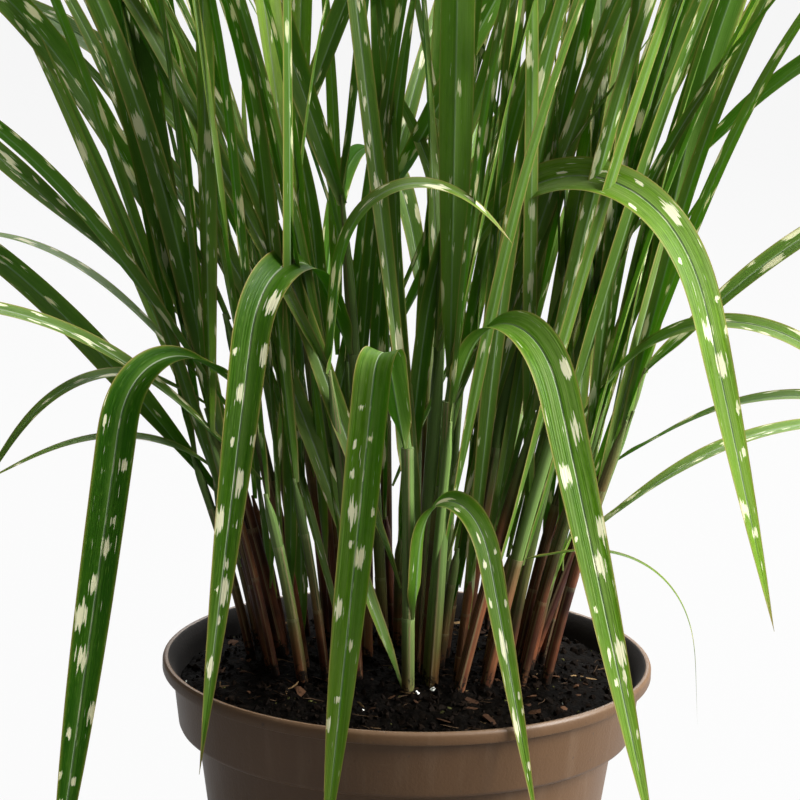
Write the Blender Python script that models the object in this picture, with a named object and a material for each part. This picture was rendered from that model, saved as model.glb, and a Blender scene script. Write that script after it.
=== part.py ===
"""Potted zebra grass: a clump of reedy shoots with arching banded blades in a round nursery pot.

Metres, +Z up, -Y is the front. The origin is the centre of the pot's underside.
Every size in this file is in millimetres and every angle in degrees; MM turns the finished
points into metres.
"""
import math
from collections import namedtuple

import bmesh
import bpy
from mathutils import Matrix, Vector

MM = 0.001

# Pot: a thin moulded shell with a stepped collar and a rolled lip.
POT_SIDES = 40
POT_HEIGHT = 150.0
LIP_RADIUS = 95.0
COLLAR_FOOT = 121.0
COLLAR_RADIUS = 90.5
BODY_RADIUS = 81.0
BASE_RADIUS = 64.0
WALL = 1.6
FLOOR = 2.2
DRAIN_COUNT = 4
DRAIN_RADIUS = 5.0
DRAIN_CIRCLE = 47.0

# Soil: fills the pot to a few millimetres under the lip and is heaped round the clump.
CLEARANCE = 0.5
SOIL_EDGE = 142.5
SOIL_CROWN = 148.0
BORE_CLEARANCE = 0.6
BORE_SIDES = 10

# Culms, the reedy stems of the shoots. Each foot stands in a bore in the soil.
CULM_SIDES = 8
CULM_STEPS = 5
CULM_FOOT = 12.0

# Blades: thin strips, folded along the midrib, narrow at the collar and pointed at the tip.
BLADE_STEPS = 14
BLADE_THICKNESS = 1.0
BLADE_FOLD = 0.16
BLADE_GAP = 0.9
COLLAR_SHARE = 0.55
WIDENS_OVER = 0.3
TIP_WIDTH = 0.8

Shoot = namedtuple("Shoot", "x y heading foot_lean top_lean height radius")
Blade = namedtuple("Blade", "shoot share heading rise fall bend soft length width roll taper")

SHOOTS = {
    # x, y, heading, lean at the foot and at the top, height above the soil, radius
    "01": Shoot(-54, 30, 180, 10, 18, 160, 2.4),
    "02": Shoot(-46, 10, 190, 12, 20, 135, 2.4),
    "03": Shoot(-38, -10, 205, 8, 18, 140, 2.3),
    "04": Shoot(-30, 30, 150, 6, 14, 170, 2.2),
    "05": Shoot(-26, 8, 180, 5, 8, 165, 2.3),
    "06": Shoot(-18, -20, 230, 5, 12, 120, 2.2),
    "07": Shoot(1, -38, 200, 1, 2, 100, 2.3),
    "08": Shoot(9, -30, 0, 3, 1, 118, 2.4),
    "09": Shoot(17, -36, 10, 12, 16, 110, 2.2),
    "10": Shoot(28, -28, 345, 10, 16, 120, 2.3),
    "11": Shoot(36, -10, 350, 8, 14, 150, 2.3),
    "12": Shoot(44, 8, 0, 18, 20, 120, 2.3),
    "13": Shoot(33, 18, 20, 10, 16, 175, 2.3),
    "14": Shoot(20, 4, 0, 6, 10, 170, 2.2),
    "15": Shoot(4, -10, 0, 2, 3, 124, 2.3),
    "16": Shoot(-15, 4, 170, 2, 6, 175, 2.3),
    "17": Shoot(8, 24, 80, 3, 8, 175, 2.2),
    "18": Shoot(22, 38, 60, 8, 14, 165, 2.2),
    "19": Shoot(-8, 42, 100, 8, 15, 165, 2.2),
    "20": Shoot(-30, 50, 130, 10, 18, 160, 2.2),
    "21": Shoot(38, 42, 40, 12, 20, 160, 2.2),
    "22": Shoot(6, 58, 90, 10, 18, 155, 2.2),
}

BLADES = [
    # shoot, share of its height, heading, rise, fall, bend, soft, length, width, roll, taper
    # Arching over the front lip.
    Blade("03", 0.85, -142, 38, -81, 0.165, 0.13, 258, 15, -44, 4),
    Blade("16", 0.72, -124, 62, -80, 0.24, 0.16, 260, 15.5, -35, 2.4),
    Blade("07", 0.97, -109, 63, -76, 0.22, 0.06, 238, 14.5, 0, 4),
    Blade("08", 0.96, -48, 75, -70, 0.19, 0.17, 254, 16, 34, 2.6),
    Blade("07", 0.38, -50, 86, -72, 0.31, 0.19, 190, 10.5, 28, 2.6),
    Blade("15", 1.03, -24, 74, -75, 0.34, 0.28, 292, 16, 45, 3),
    Blade("06", 1.04, -8, 86, -50, 0.62, 0.38, 130, 12, 30, 2),
    # To the left, low ones first.
    Blade("02", 0.58, 200, 44, -25, 0.40, 0.50, 110, 6, -20, 2),
    Blade("02", 0.80, 206, 34, -55, 0.40, 0.40, 125, 7, -20, 2.5),
    Blade("02", 0.45, 172, 50, 5, 0.60, 0.50, 300, 11, -60, 3),
    Blade("03", 0.60, 192, 45, -40, 0.55, 0.50, 260, 9, -25, 3),
    Blade("01", 0.70, 160, 42, -50, 0.50, 0.45, 230, 8, 0, 3),
    Blade("01", 0.85, 204, 42, -20, 0.62, 0.35, 320, 12, -50, 3),
    Blade("04", 0.90, 150, 55, -10, 0.40, 0.45, 320, 12, -30, 3),
    Blade("01", 1.03, 168, 62, 0, 0.45, 0.45, 330, 12.5, -60, 3),
    Blade("02", 1.03, 188, 78, 40, 0.70, 0.30, 380, 18, -90, 4),
    # Upright ones in the middle.
    Blade("05", 1.03, 218, 80, 30, 0.65, 0.35, 350, 17, -70, 4),
    Blade("04", 1.03, 30, 84, 50, 0.60, 0.40, 350, 10, 80, 4),
    Blade("16", 1.03, 160, 68, 30, 0.60, 0.40, 340, 13, -70, 4),
    Blade("08", 1.03, -100, 88, -10, 0.66, 0.34, 370, 13, 0, 4),
    Blade("14", 1.03, -14, 80, 20, 0.64, 0.36, 360, 13, 60, 4),
    Blade("17", 1.03, 60, 84, 30, 0.60, 0.40, 350, 11, 60, 4),
    # To the right.
    Blade("11", 1.03, -24, 76, 20, 0.60, 0.40, 350, 12, 60, 4),
    Blade("13", 1.03, 12, 66, 30, 0.50, 0.40, 350, 12, 70, 4),
    Blade("13", 0.90, -30, 50, -22, 0.54, 0.40, 326, 11, 42, 4),
    Blade("12", 1.03, 8, 46, -10, 0.50, 0.50, 260, 9, 40, 3),
    Blade("11", 0.62, -28, 62, -50, 0.38, 0.35, 250, 9, 30, 3),
    Blade("12", 0.75, -32, 36, -60, 0.50, 0.50, 240, 8, 20, 3),
    Blade("12", 0.50, 14, 38, -40, 0.50, 0.50, 220, 8, 20, 3),
    Blade("10", 0.50, -5, 14, -86, 0.44, 0.40, 115, 4, 0, 2),
    # Behind the clump.
    Blade("22", 1.03, 80, 76, -60, 0.55, 0.40, 350, 11, 0, 3),
    Blade("22", 0.80, 110, 62, -76, 0.36, 0.32, 290, 11, 0, 3),
    Blade("20", 1.03, 130, 72, -60, 0.55, 0.40, 340, 11, 0, 3),
    Blade("21", 1.03, 45, 68, -60, 0.52, 0.40, 340, 11, 0, 3),
    Blade("19", 1.03, 100, 84, 0, 0.65, 0.35, 350, 11, 0, 4),
    Blade("18", 1.03, 50, 80, 10, 0.65, 0.35, 350, 11, 40, 4),
]


def smooth(t):
    """Ease from 0 to 1."""
    t = min(max(t, 0.0), 1.0)
    return t * t * (3.0 - 2.0 * t)


def direction(heading, elevation):
    """Unit vector at a heading round +Z from +X and an elevation above the ground."""
    h = math.radians(heading)
    e = math.radians(elevation)
    return Vector((math.cos(e) * math.cos(h), math.cos(e) * math.sin(h), math.sin(e)))


def culm_line(shoot, steps):
    """Points up the middle of a culm, which leans further the higher it gets."""
    point = Vector((shoot.x, shoot.y, SOIL_CROWN - CULM_FOOT))
    points = [point.copy()]
    step = (shoot.height + CULM_FOOT) / steps
    for k in range(steps):
        lean = shoot.foot_lean + (shoot.top_lean - shoot.foot_lean) * (k + 0.5) / steps
        point = point + step * direction(shoot.heading, 90.0 - lean)
        points.append(point.copy())
    return points


def up_the_culm(shoot, share):
    """The point on a culm's middle line at a share of its length; past 1 it runs straight on."""
    points = culm_line(shoot, CULM_STEPS)
    place = share * CULM_STEPS
    k = min(int(place), CULM_STEPS - 1)
    return points[k] + (place - k) * (points[k + 1] - points[k])


def blade_line(blade, steps):
    """Points, half-width vectors and upward normals along a blade that bends under its weight."""
    shoot = SHOOTS[blade.shoot]
    beside = shoot.radius + BLADE_GAP if blade.share < 1.0 else 0.0
    point = up_the_culm(shoot, blade.share) + beside * direction(blade.heading, 0.0)
    stations = []
    for k in range(steps + 1):
        u = k / steps
        bent = smooth((u - blade.bend + blade.soft) / (2.0 * blade.soft))
        along = direction(blade.heading, blade.rise + (blade.fall - blade.rise) * bent)
        across = direction(blade.heading + 90.0, 0.0)
        upward = along.cross(across)
        rolled = smooth(u / WIDENS_OVER) if blade.share < 1.0 else 1.0
        turn = Matrix.Rotation(math.radians(blade.roll * rolled), 3, along)
        width = blade.width * (COLLAR_SHARE + (1.0 - COLLAR_SHARE) * smooth(u / WIDENS_OVER))
        width = max(width * (1.0 - u ** blade.taper), TIP_WIDTH)
        if k > 0:
            point = point + blade.length / steps * (along + before) / 2.0
        before = along
        stations.append((point.copy(), turn @ across * (width / 2.0), turn @ upward))
    return stations


def material(name, color, roughness):
    mat = bpy.data.materials.new(name)
    mat.use_nodes = True
    bsdf = mat.node_tree.nodes["Principled BSDF"]
    bsdf.inputs["Base Color"].default_value = (*color, 1.0)
    bsdf.inputs["Roughness"].default_value = roughness
    return mat


def add_object(name, bm, mat):
    """Make an object from a mesh built in millimetres."""
    bmesh.ops.scale(bm, vec=(MM, MM, MM), verts=bm.verts)
    bmesh.ops.recalc_face_normals(bm, faces=bm.faces)
    mesh = bpy.data.meshes.new(name)
    bm.to_mesh(mesh)
    bm.free()
    mesh.materials.append(mat)
    obj = bpy.data.objects.new(name, mesh)
    bpy.context.scene.collection.objects.link(obj)
    return obj


def turned(outline, sides):
    """Turn a closed outline round +Z; its points at radius 0 become single points."""
    bm = bmesh.new()
    rings = []
    for radius, z in outline:
        if radius == 0.0:
            rings.append([bm.verts.new((0.0, 0.0, z))])
            continue
        angles = (math.tau * k / sides for k in range(sides))
        rings.append([bm.verts.new((radius * math.cos(a), radius * math.sin(a), z)) for a in angles])
    for low, high in zip(rings, rings[1:]):
        for k in range(sides):
            n = (k + 1) % sides
            if len(low) == 1:
                bm.faces.new((low[0], high[k], high[n]))
            elif len(high) == 1:
                bm.faces.new((low[k], low[n], high[0]))
            else:
                bm.faces.new((low[k], low[n], high[n], high[k]))
    return bm


def strip(rings):
    """Skin a run of closed rings and cap both ends."""
    bm = bmesh.new()
    loops = [[bm.verts.new(p) for p in ring] for ring in rings]
    sides = len(loops[0])
    for low, high in zip(loops, loops[1:]):
        for k in range(sides):
            n = (k + 1) % sides
            bm.faces.new((low[k], low[n], high[n], high[k]))
    bm.faces.new(loops[0][::-1])
    bm.faces.new(loops[-1])
    return bm


def blade_skin(rings):
    """Skin a blade, with its triangles cut the same way on top and beneath, so a twist leaves it whole."""
    bm = bmesh.new()
    loops = [[bm.verts.new(p) for p in ring] for ring in rings]
    for low, high in zip(loops, loops[1:]):
        for k in range(4):
            n = (k + 1) % 4
            edge, far_edge, rib = (low[k], high[k], high[n]) if k % 2 == 0 else (low[n], high[n], high[k])
            near_rib = low[n] if k % 2 == 0 else low[k]
            bm.faces.new((edge, near_rib, rib))
            bm.faces.new((edge, rib, far_edge))
    bm.faces.new(loops[0][::-1])
    bm.faces.new(loops[-1])
    return bm


def tube_rings(points, radius, sides):
    """Level rings round a steep line, close enough to square across it for a culm."""
    rings = []
    for point in points:
        angles = (math.tau * (k + 0.5) / sides for k in range(sides))
        rings.append([point + radius * Vector((math.cos(a), math.sin(a), 0.0)) for a in angles])
    return rings


def cut(obj, bm, name):
    """Take a cutter away from an object with a Boolean."""
    cutter = add_object(name, bm, obj.data.materials[0])
    cutter.hide_render = True
    cutter.display_type = "WIRE"
    modifier = obj.modifiers.new(name, "BOOLEAN")
    modifier.operation = "DIFFERENCE"
    modifier.solver = "EXACT"
    modifier.object = cutter


def joined(meshes):
    """Put several separate meshes into one, for a cutter."""
    whole = bmesh.new()
    for bm in meshes:
        mesh = bpy.data.meshes.new("cutter_piece")
        bm.to_mesh(mesh)
        bm.free()
        whole.from_mesh(mesh)
        bpy.data.meshes.remove(mesh)
    return whole


# The pot's wall from the middle of its floor, up the inside, as radius and height.
POT_INSIDE = [
    (BASE_RADIUS - 5.5, FLOOR),
    (BASE_RADIUS - 1.9, FLOOR + 3.0),
    (BODY_RADIUS - WALL, COLLAR_FOOT - 2.0),
    (COLLAR_RADIUS - 4.2, COLLAR_FOOT + 1.8),
    (COLLAR_RADIUS - WALL, POT_HEIGHT - 5.0),
]
POT_LIP = [
    (LIP_RADIUS - 3.9, POT_HEIGHT - 1.2),
    (LIP_RADIUS - 2.6, POT_HEIGHT),
    (LIP_RADIUS - 0.8, POT_HEIGHT - 0.2),
    (LIP_RADIUS, POT_HEIGHT - 1.4),
    (LIP_RADIUS - 0.4, POT_HEIGHT - 4.2),
]
POT_OUTSIDE = [
    (COLLAR_RADIUS, POT_HEIGHT - 5.0),
    (COLLAR_RADIUS - 2.3, COLLAR_FOOT + 1.2),
    (COLLAR_RADIUS - 3.2, COLLAR_FOOT),
    (BODY_RADIUS + 0.4, COLLAR_FOOT - 1.4),
    (BODY_RADIUS, COLLAR_FOOT - 3.0),
    (BASE_RADIUS, 2.5),
    (BASE_RADIUS - 2.0, 0.0),
]


def nursery_pot(mat):
    outline = [(0.0, FLOOR)] + POT_INSIDE + POT_LIP + POT_OUTSIDE + [(0.0, 0.0)]
    pot = add_object("nursery_pot", turned(outline, POT_SIDES), mat)
    drains = []
    for k in range(DRAIN_COUNT):
        angle = math.tau * (k + 0.5) / DRAIN_COUNT
        x = DRAIN_CIRCLE * math.cos(angle)
        y = DRAIN_CIRCLE * math.sin(angle)
        line = [Vector((x, y, -2.0)), Vector((x, y, FLOOR + 2.0))]
        drains.append(strip(tube_rings(line, DRAIN_RADIUS, 12)))
    cut(pot, joined(drains), "drain_cutter")
    pot.data.shade_smooth()
    pot.data.set_sharp_from_angle(angle=math.radians(35.0))


def potting_soil(mat):
    inside = [(radius - CLEARANCE, z + CLEARANCE) for radius, z in POT_INSIDE[:-1]]
    inside.append((POT_INSIDE[-1][0] - CLEARANCE - 0.3, SOIL_EDGE))
    crown = [
        (78.0, SOIL_EDGE + 1.6),
        (62.0, SOIL_CROWN - 0.8),
        (30.0, SOIL_CROWN),
        (0.0, SOIL_CROWN + 0.2),
    ]
    soil = add_object("potting_soil", turned([(0.0, FLOOR + CLEARANCE)] + inside + crown, POT_SIDES), mat)
    bores = []
    for shoot in SHOOTS.values():
        points = culm_line(shoot, CULM_STEPS)
        up = (points[1] - points[0]).normalized()
        ends = [points[0] - 1.0 * up, points[0] + (CULM_FOOT + 8.0) * up]
        bores.append(strip(tube_rings(ends, shoot.radius + BORE_CLEARANCE, BORE_SIDES)))
    cut(soil, joined(bores), "bore_cutter")


def culm(number, shoot, mat):
    rings = tube_rings(culm_line(shoot, CULM_STEPS), shoot.radius, CULM_SIDES)
    obj = add_object(f"culm_{number}", strip(rings), mat)
    obj.data.shade_smooth()
    obj.data.set_sharp_from_angle(angle=math.radians(60.0))


def blade_leaf(number, blade, mat):
    """Each cross-section has a raised edge on both sides and the midrib below between them."""
    rings = []
    for point, half, upward in blade_line(blade, BLADE_STEPS):
        lift = upward * (BLADE_FOLD * half.length)
        thick = upward * (BLADE_THICKNESS / 2.0)
        rings.append([point - half + lift, point - thick, point + half + lift, point + thick])
    obj = add_object(f"leaf_{number:02d}", blade_skin(rings), mat)
    obj.data.shade_smooth()
    obj.data.set_sharp_from_angle(angle=math.radians(60.0))


def build():
    for obj in list(bpy.data.objects):
        bpy.data.objects.remove(obj, do_unlink=True)
    plastic = material("pot_plastic", (0.165, 0.115, 0.09), 0.55)
    compost = material("compost", (0.025, 0.017, 0.012), 0.95)
    reed = material("reed", (0.16, 0.075, 0.04), 0.5)
    green = material("leaf_green", (0.045, 0.115, 0.02), 0.45)
    nursery_pot(plastic)
    potting_soil(compost)
    for number, shoot in SHOOTS.items():
        culm(number, shoot, reed)
    for number, blade in enumerate(BLADES, 1):
        blade_leaf(number, blade, green)


build()
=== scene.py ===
import math
import random
from collections import namedtuple

import bmesh
import bpy
import numpy as np
from mathutils import Matrix, Vector, noise


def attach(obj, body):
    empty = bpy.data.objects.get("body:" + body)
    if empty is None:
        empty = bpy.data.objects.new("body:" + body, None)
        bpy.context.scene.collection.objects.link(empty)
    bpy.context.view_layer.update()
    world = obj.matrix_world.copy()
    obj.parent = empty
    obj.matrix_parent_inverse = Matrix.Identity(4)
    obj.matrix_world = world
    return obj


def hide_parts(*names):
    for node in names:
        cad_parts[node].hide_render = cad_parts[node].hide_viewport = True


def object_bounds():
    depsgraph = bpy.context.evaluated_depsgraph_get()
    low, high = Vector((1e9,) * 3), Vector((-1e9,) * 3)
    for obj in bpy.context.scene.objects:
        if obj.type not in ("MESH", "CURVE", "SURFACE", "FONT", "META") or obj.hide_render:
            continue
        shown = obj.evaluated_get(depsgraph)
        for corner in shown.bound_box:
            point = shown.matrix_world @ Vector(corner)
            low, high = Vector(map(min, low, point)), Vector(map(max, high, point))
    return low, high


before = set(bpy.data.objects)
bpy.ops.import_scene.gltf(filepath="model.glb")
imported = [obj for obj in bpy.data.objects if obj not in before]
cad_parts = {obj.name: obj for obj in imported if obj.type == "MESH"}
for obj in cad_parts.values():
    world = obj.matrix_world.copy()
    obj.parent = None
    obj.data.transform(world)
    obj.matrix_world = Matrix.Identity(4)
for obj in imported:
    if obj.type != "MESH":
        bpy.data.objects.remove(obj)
cad_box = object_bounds()
MM = 0.001

# ---------------------------------------------------------------- Nursery pot
# The real pot is thin injection-moulded polypropylene, taupe brown and matt, with a rolled lip,
# a deep collar that steps in to the body, and four drain holes in its raised floor.
# It is turned as one closed wall, and the holes are cut afterwards.

POT_SIDES = 160
DRAIN_COUNT = 4
DRAIN_CIRCLE = 47.0
DRAIN_RADIUS = 5.0
POT_OUTLINE = [
    (0.0, 2.2), (58.5, 2.2), (60.9, 3.2), (62.1, 5.2), (79.3, 120.9), (80.1, 122.9), (81.5, 124.2),
    (85.4, 125.5), (86.3, 126.2), (86.7, 127.5), (89.2, 145.0), (90.3, 148.2), (92.1, 151.1),
    (92.8, 151.75), (93.5, 152.0), (94.2, 151.85), (94.75, 151.3), (95.0, 150.6), (95.0, 147.7),
    (94.75, 147.1), (94.1, 146.8), (91.7, 146.5), (91.1, 146.1), (90.9, 145.4), (88.5, 126.2),
    (87.9, 124.9), (87.0, 124.3), (82.4, 123.2), (81.4, 122.5), (81.0, 121.1), (64.1, 3.2),
    (63.5, 1.1), (62.0, 0.0), (59.0, 0.0), (58.0, 1.0), (0.0, 1.0),
]


def shown(name, data):
    made = bpy.data.objects.new(name, data)
    bpy.context.scene.collection.objects.link(made)
    return made


def solid_object(name, bm, material):
    """A mesh built in millimetres becomes an object in metres, with its faces outwards."""
    bmesh.ops.scale(bm, vec=(MM, MM, MM), verts=bm.verts)
    bmesh.ops.recalc_face_normals(bm, faces=bm.faces)
    mesh = bpy.data.meshes.new(name)
    bm.to_mesh(mesh)
    bm.free()
    if material:
        mesh.materials.append(material)
    return shown(name, mesh)


def turned(outline, sides):
    """Turn an outline of radius and height round the pot's axis; radius 0 closes to one point."""
    bm = bmesh.new()
    rings = []
    for radius, z in outline:
        turns = sides if radius > 0.0 else 1
        around = (math.tau * k / sides for k in range(turns))
        rings.append([bm.verts.new((radius * math.cos(a), radius * math.sin(a), z)) for a in around])
    for low, high in zip(rings, rings[1:]):
        for k in range(sides):
            n = (k + 1) % sides
            corners = [low[k % len(low)], low[n % len(low)], high[n % len(high)], high[k % len(high)]]
            bm.faces.new(list(dict.fromkeys(corners)))
    return bm


def settled(made):
    """Apply whatever modifiers an object carries, as a plain mesh."""
    graph = bpy.context.evaluated_depsgraph_get()
    mesh = bpy.data.meshes.new_from_object(
        made.evaluated_get(graph), preserve_all_data_layers=True, depsgraph=graph)
    made.modifiers.clear()
    made.data = mesh
    return made


def fasten(piece, slot, *nodes):
    """Nothing on a plant moves on its own: each piece rides on the one body."""
    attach(piece, "root")
    if nodes:
        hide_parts(*nodes)
    return piece


def shader(tree, kind, feeds=None, **settings):
    """Add a node, set its choices, and feed its inputs from values or from other nodes' outputs."""
    made = tree.nodes.new(kind)
    for key, value in settings.items():
        setattr(made, key, value)
    for key, value in (feeds or {}).items():
        if isinstance(value, bpy.types.NodeSocket):
            tree.links.new(value, made.inputs[key])
        else:
            made.inputs[key].default_value = value
    return made


def maths(tree, operation, *values):
    return shader(tree, "ShaderNodeMath", dict(enumerate(values)), operation=operation).outputs[0]


def times(tree, first, second):
    return maths(tree, "MULTIPLY", first, second)


def plus(tree, first, second):
    return maths(tree, "ADD", first, second)


def less(tree, first, second):
    return maths(tree, "SUBTRACT", first, second)


def split(tree, vector):
    return shader(tree, "ShaderNodeSeparateXYZ", {"Vector": vector}).outputs


def eased(tree, value, start, end):
    """0 before start and 1 past end, with a smooth step between; start may lie past end."""
    feeds = {"Value": value, "From Min": start, "From Max": end}
    return shader(tree, "ShaderNodeMapRange", feeds, interpolation_type="SMOOTHSTEP").outputs[0]


def blended(tree, share, first, second):
    feeds = {0: share, 6: first, 7: second}
    return shader(tree, "ShaderNodeMix", feeds, data_type="RGBA", blend_type="MIX").outputs[2]


def tinted(tree, base, mask, strength, tint):
    """Lay a tint over the base, as strong as its mask and its strength together."""
    return blended(tree, times(tree, mask, strength), base, tint)


def grain(tree, place, scale, detail=3.0, rough=0.55):
    feeds = {"Vector": place, "Scale": scale, "Detail": detail, "Roughness": rough}
    return shader(tree, "ShaderNodeTexNoise", feeds).outputs["Fac"]


def stretched(tree, place, scale):
    return shader(tree, "ShaderNodeMapping", {"Vector": place, "Scale": scale}).outputs[0]


def colour(red, green, blue):
    return (red, green, blue, 1.0)


def effect(name, inputs, outputs):
    """An empty shader group with named sockets, and its two end nodes."""
    tree = bpy.data.node_groups.new(name, "ShaderNodeTree")
    kinds = {"value": "NodeSocketFloat", "vector": "NodeSocketVector", "colour": "NodeSocketColor"}
    for label, kind, value in inputs:
        socket = tree.interface.new_socket(label, in_out="INPUT", socket_type=kinds[kind])
        if value is not None:
            socket.default_value = value
    for label, kind in outputs:
        tree.interface.new_socket(label, in_out="OUTPUT", socket_type=kinds[kind])
    return tree, tree.nodes.new("NodeGroupInput").outputs, tree.nodes.new("NodeGroupOutput").inputs


def placed(tree, group, feeds):
    return shader(tree, "ShaderNodeGroup", feeds, node_tree=group).outputs


def new_material(name, **sockets):
    """A material whose Principled shader has its constant values set on its own sockets."""
    made = bpy.data.materials.new(name)
    made.use_nodes = True
    skin = made.node_tree.nodes["Principled BSDF"]
    for key, value in sockets.items():
        skin.inputs[key.replace("_", " ")].default_value = value
    return made, made.node_tree, skin


def finish_skin(tree, skin, base, roughness, height, depth):
    """Join colour, roughness and a bump of a given depth in metres to the shader."""
    tree.links.new(base, skin.inputs["Base Color"])
    tree.links.new(roughness, skin.inputs["Roughness"])
    bump = shader(tree, "ShaderNodeBump", {"Height": height, "Strength": 1.0, "Distance": depth})
    tree.links.new(bump.outputs["Normal"], skin.inputs["Normal"])


# Compost dust clings low down and in patches: on the pot's wall, the culms' feet and the perlite. On the
# pot's inner wall, up to the lip, it is also painted shade.
earth_dust, dust_in, dust_out = effect(
    "Earth dust",
    [("Place", "vector", None), ("Reach", "value", 0.5), ("Patch size", "value", 90.0)],
    [("Mask", "value"), ("Colour", "colour")])
patches = grain(earth_dust, dust_in["Place"], dust_in["Patch size"], 5.0, 0.65)
fine = grain(earth_dust, dust_in["Place"], 1400.0, 2.0)
laid = plus(earth_dust, patches, times(earth_dust, fine, 0.35))
edge = less(earth_dust, 1.15, dust_in["Reach"])
dust = eased(earth_dust, laid, edge, plus(earth_dust, edge, 0.16))
earth_dust.links.new(dust, dust_out["Mask"])
earth_dust.links.new(blended(earth_dust, fine, colour(0.002, 0.0014, 0.001), colour(0.013, 0.0085, 0.0055)),
    dust_out["Colour"])

plastic, tree, skin = new_material("pot_plastic", Specular_IOR_Level=0.25)
place = shader(tree, "ShaderNodeTexCoord").outputs["Object"]
parts = split(tree, place)
radius = maths(tree, "SQRT",
    plus(tree, maths(tree, "POWER", parts["X"], 2.0), maths(tree, "POWER", parts["Y"], 2.0)))
cloud = grain(tree, place, 26.0, 4.0)
fleck = grain(tree, place, 900.0, 2.0)
runs = grain(tree, stretched(tree, place, (150.0, 150.0, 9.0)), 1.0, 4.0)
scratch = grain(tree, stretched(tree, place, (60.0, 60.0, 900.0)), 1.0, 5.0, 0.7)
base = blended(tree, cloud, colour(0.060, 0.0300, 0.0115), colour(0.086, 0.0450, 0.0195))
base = tinted(tree, base, eased(tree, runs, 0.5, 0.75), 0.3, colour(0.115, 0.074, 0.044))
base = tinted(tree, base, eased(tree, scratch, 0.66, 0.74), 0.22, colour(0.165, 0.115, 0.075))
# Painted highlight: a lighter band laid along the top of the lip, where light catches it.
lip = eased(tree, parts["Z"], 0.1498, 0.1516)
base = tinted(tree, base, lip, 0.30, colour(0.190, 0.125, 0.078))
# The inner wall, from the compost up to the lip, takes the compost dust's near-black colour: partly real
# dust, partly painted shade inside the pot.
wall_middle = plus(tree, times(tree, parts["Z"], 0.117), 0.0727)
wall_middle = plus(tree, wall_middle, times(tree, eased(tree, parts["Z"], 0.1455, 0.1515), 0.0024))
within = times(tree, maths(tree, "LESS_THAN", radius, wall_middle), eased(tree, parts["Z"], 0.128, 0.132))
inner_wall_dust_and_shade = times(tree, within, eased(tree, parts["Z"], 0.1535, 0.1505))
soiled = placed(tree, earth_dust, {"Place": place, "Reach": times(tree, inner_wall_dust_and_shade, 1.05), "Patch size": 70.0})
base = blended(tree, soiled["Mask"], base, soiled["Colour"])
speck = eased(tree, grain(tree, place, 420.0, 1.0), 0.74, 0.78)
base = tinted(tree, base, speck, 0.55, colour(0.030, 0.021, 0.016))
rough = plus(tree, times(tree, cloud, 0.16), plus(tree, times(tree, soiled["Mask"], 0.35), 0.36))
height = plus(tree, times(tree, fleck, 0.5), times(tree, runs, 0.5))
finish_skin(tree, skin, base, rough, height, 0.00018)

pot = solid_object("pot_wall", turned(POT_OUTLINE, POT_SIDES), plastic)
holes = bmesh.new()
for k in range(DRAIN_COUNT):
    angle = math.tau * (k + 0.5) / DRAIN_COUNT
    spot = Matrix.Translation((DRAIN_CIRCLE * math.cos(angle), DRAIN_CIRCLE * math.sin(angle), 1.6))
    bmesh.ops.create_cone(holes, cap_ends=True, segments=40, radius1=DRAIN_RADIUS + 0.4,
                          radius2=DRAIN_RADIUS, depth=6.0, matrix=spot)
drill = solid_object("drain_drill", holes, None)
cutting = pot.modifiers.new("drain_holes", "BOOLEAN")
cutting.operation = "DIFFERENCE"
cutting.solver = "EXACT"
cutting.object = drill
settled(pot)
bpy.data.objects.remove(drill)
pot.data.shade_smooth()
pot.data.set_sharp_from_angle(angle=math.radians(32.0))
fasten(pot, "pot_plastic", "nursery_pot")

# ---------------------------------------------------------------- Compost
# Dark, moist peat compost fills the pot to just under the lip and heaps up round the culms' feet.
# Its crown is worked with lumps and crumbs; its sides and underside lie against the pot.

Shoot = namedtuple("Shoot", "x y heading foot_lean top_lean height radius")
SHOOTS = {
    "01": Shoot(-54, 30, 180, 10, 18, 160, 2.4), "02": Shoot(-46, 10, 190, 12, 20, 135, 2.4),
    "03": Shoot(-38, -10, 205, 8, 18, 140, 2.3), "04": Shoot(-30, 30, 150, 6, 14, 170, 2.2),
    "05": Shoot(-26, 8, 180, 5, 8, 165, 2.3), "06": Shoot(-18, -20, 230, 5, 12, 120, 2.2),
    "07": Shoot(1, -38, 200, 1, 2, 100, 2.3), "08": Shoot(9, -30, 0, 3, 1, 118, 2.4),
    "09": Shoot(17, -36, 10, 12, 16, 110, 2.2), "10": Shoot(28, -28, 345, 10, 16, 120, 2.3),
    "11": Shoot(36, -10, 350, 8, 14, 150, 2.3), "12": Shoot(44, 8, 0, 18, 20, 120, 2.3),
    "13": Shoot(33, 18, 20, 10, 16, 175, 2.3), "14": Shoot(20, 4, 0, 6, 10, 170, 2.2),
    "15": Shoot(4, -10, 0, 2, 3, 124, 2.3), "16": Shoot(-15, 4, 170, 2, 6, 175, 2.3),
    "17": Shoot(8, 24, 80, 3, 8, 175, 2.2), "18": Shoot(22, 38, 60, 8, 14, 165, 2.2),
    "19": Shoot(-8, 42, 100, 8, 15, 165, 2.2), "20": Shoot(-30, 50, 130, 10, 18, 160, 2.2),
    "21": Shoot(38, 42, 40, 12, 20, 160, 2.2), "22": Shoot(6, 58, 90, 10, 18, 155, 2.2),
}
SOIL_EDGE = 88.0
SOIL_RINGS = 92
SOIL_SIDES = 260
# Down the pot's inner wall and in under its step: radius and height.
SOIL_BELOW = [(88.0, 139.0), (86.0, 127.4), (80.2, 124.4), (78.6, 119.5), (61.6, 5.7), (58.0, 2.7)]
SOIL_BOTTOM = 2.7


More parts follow.
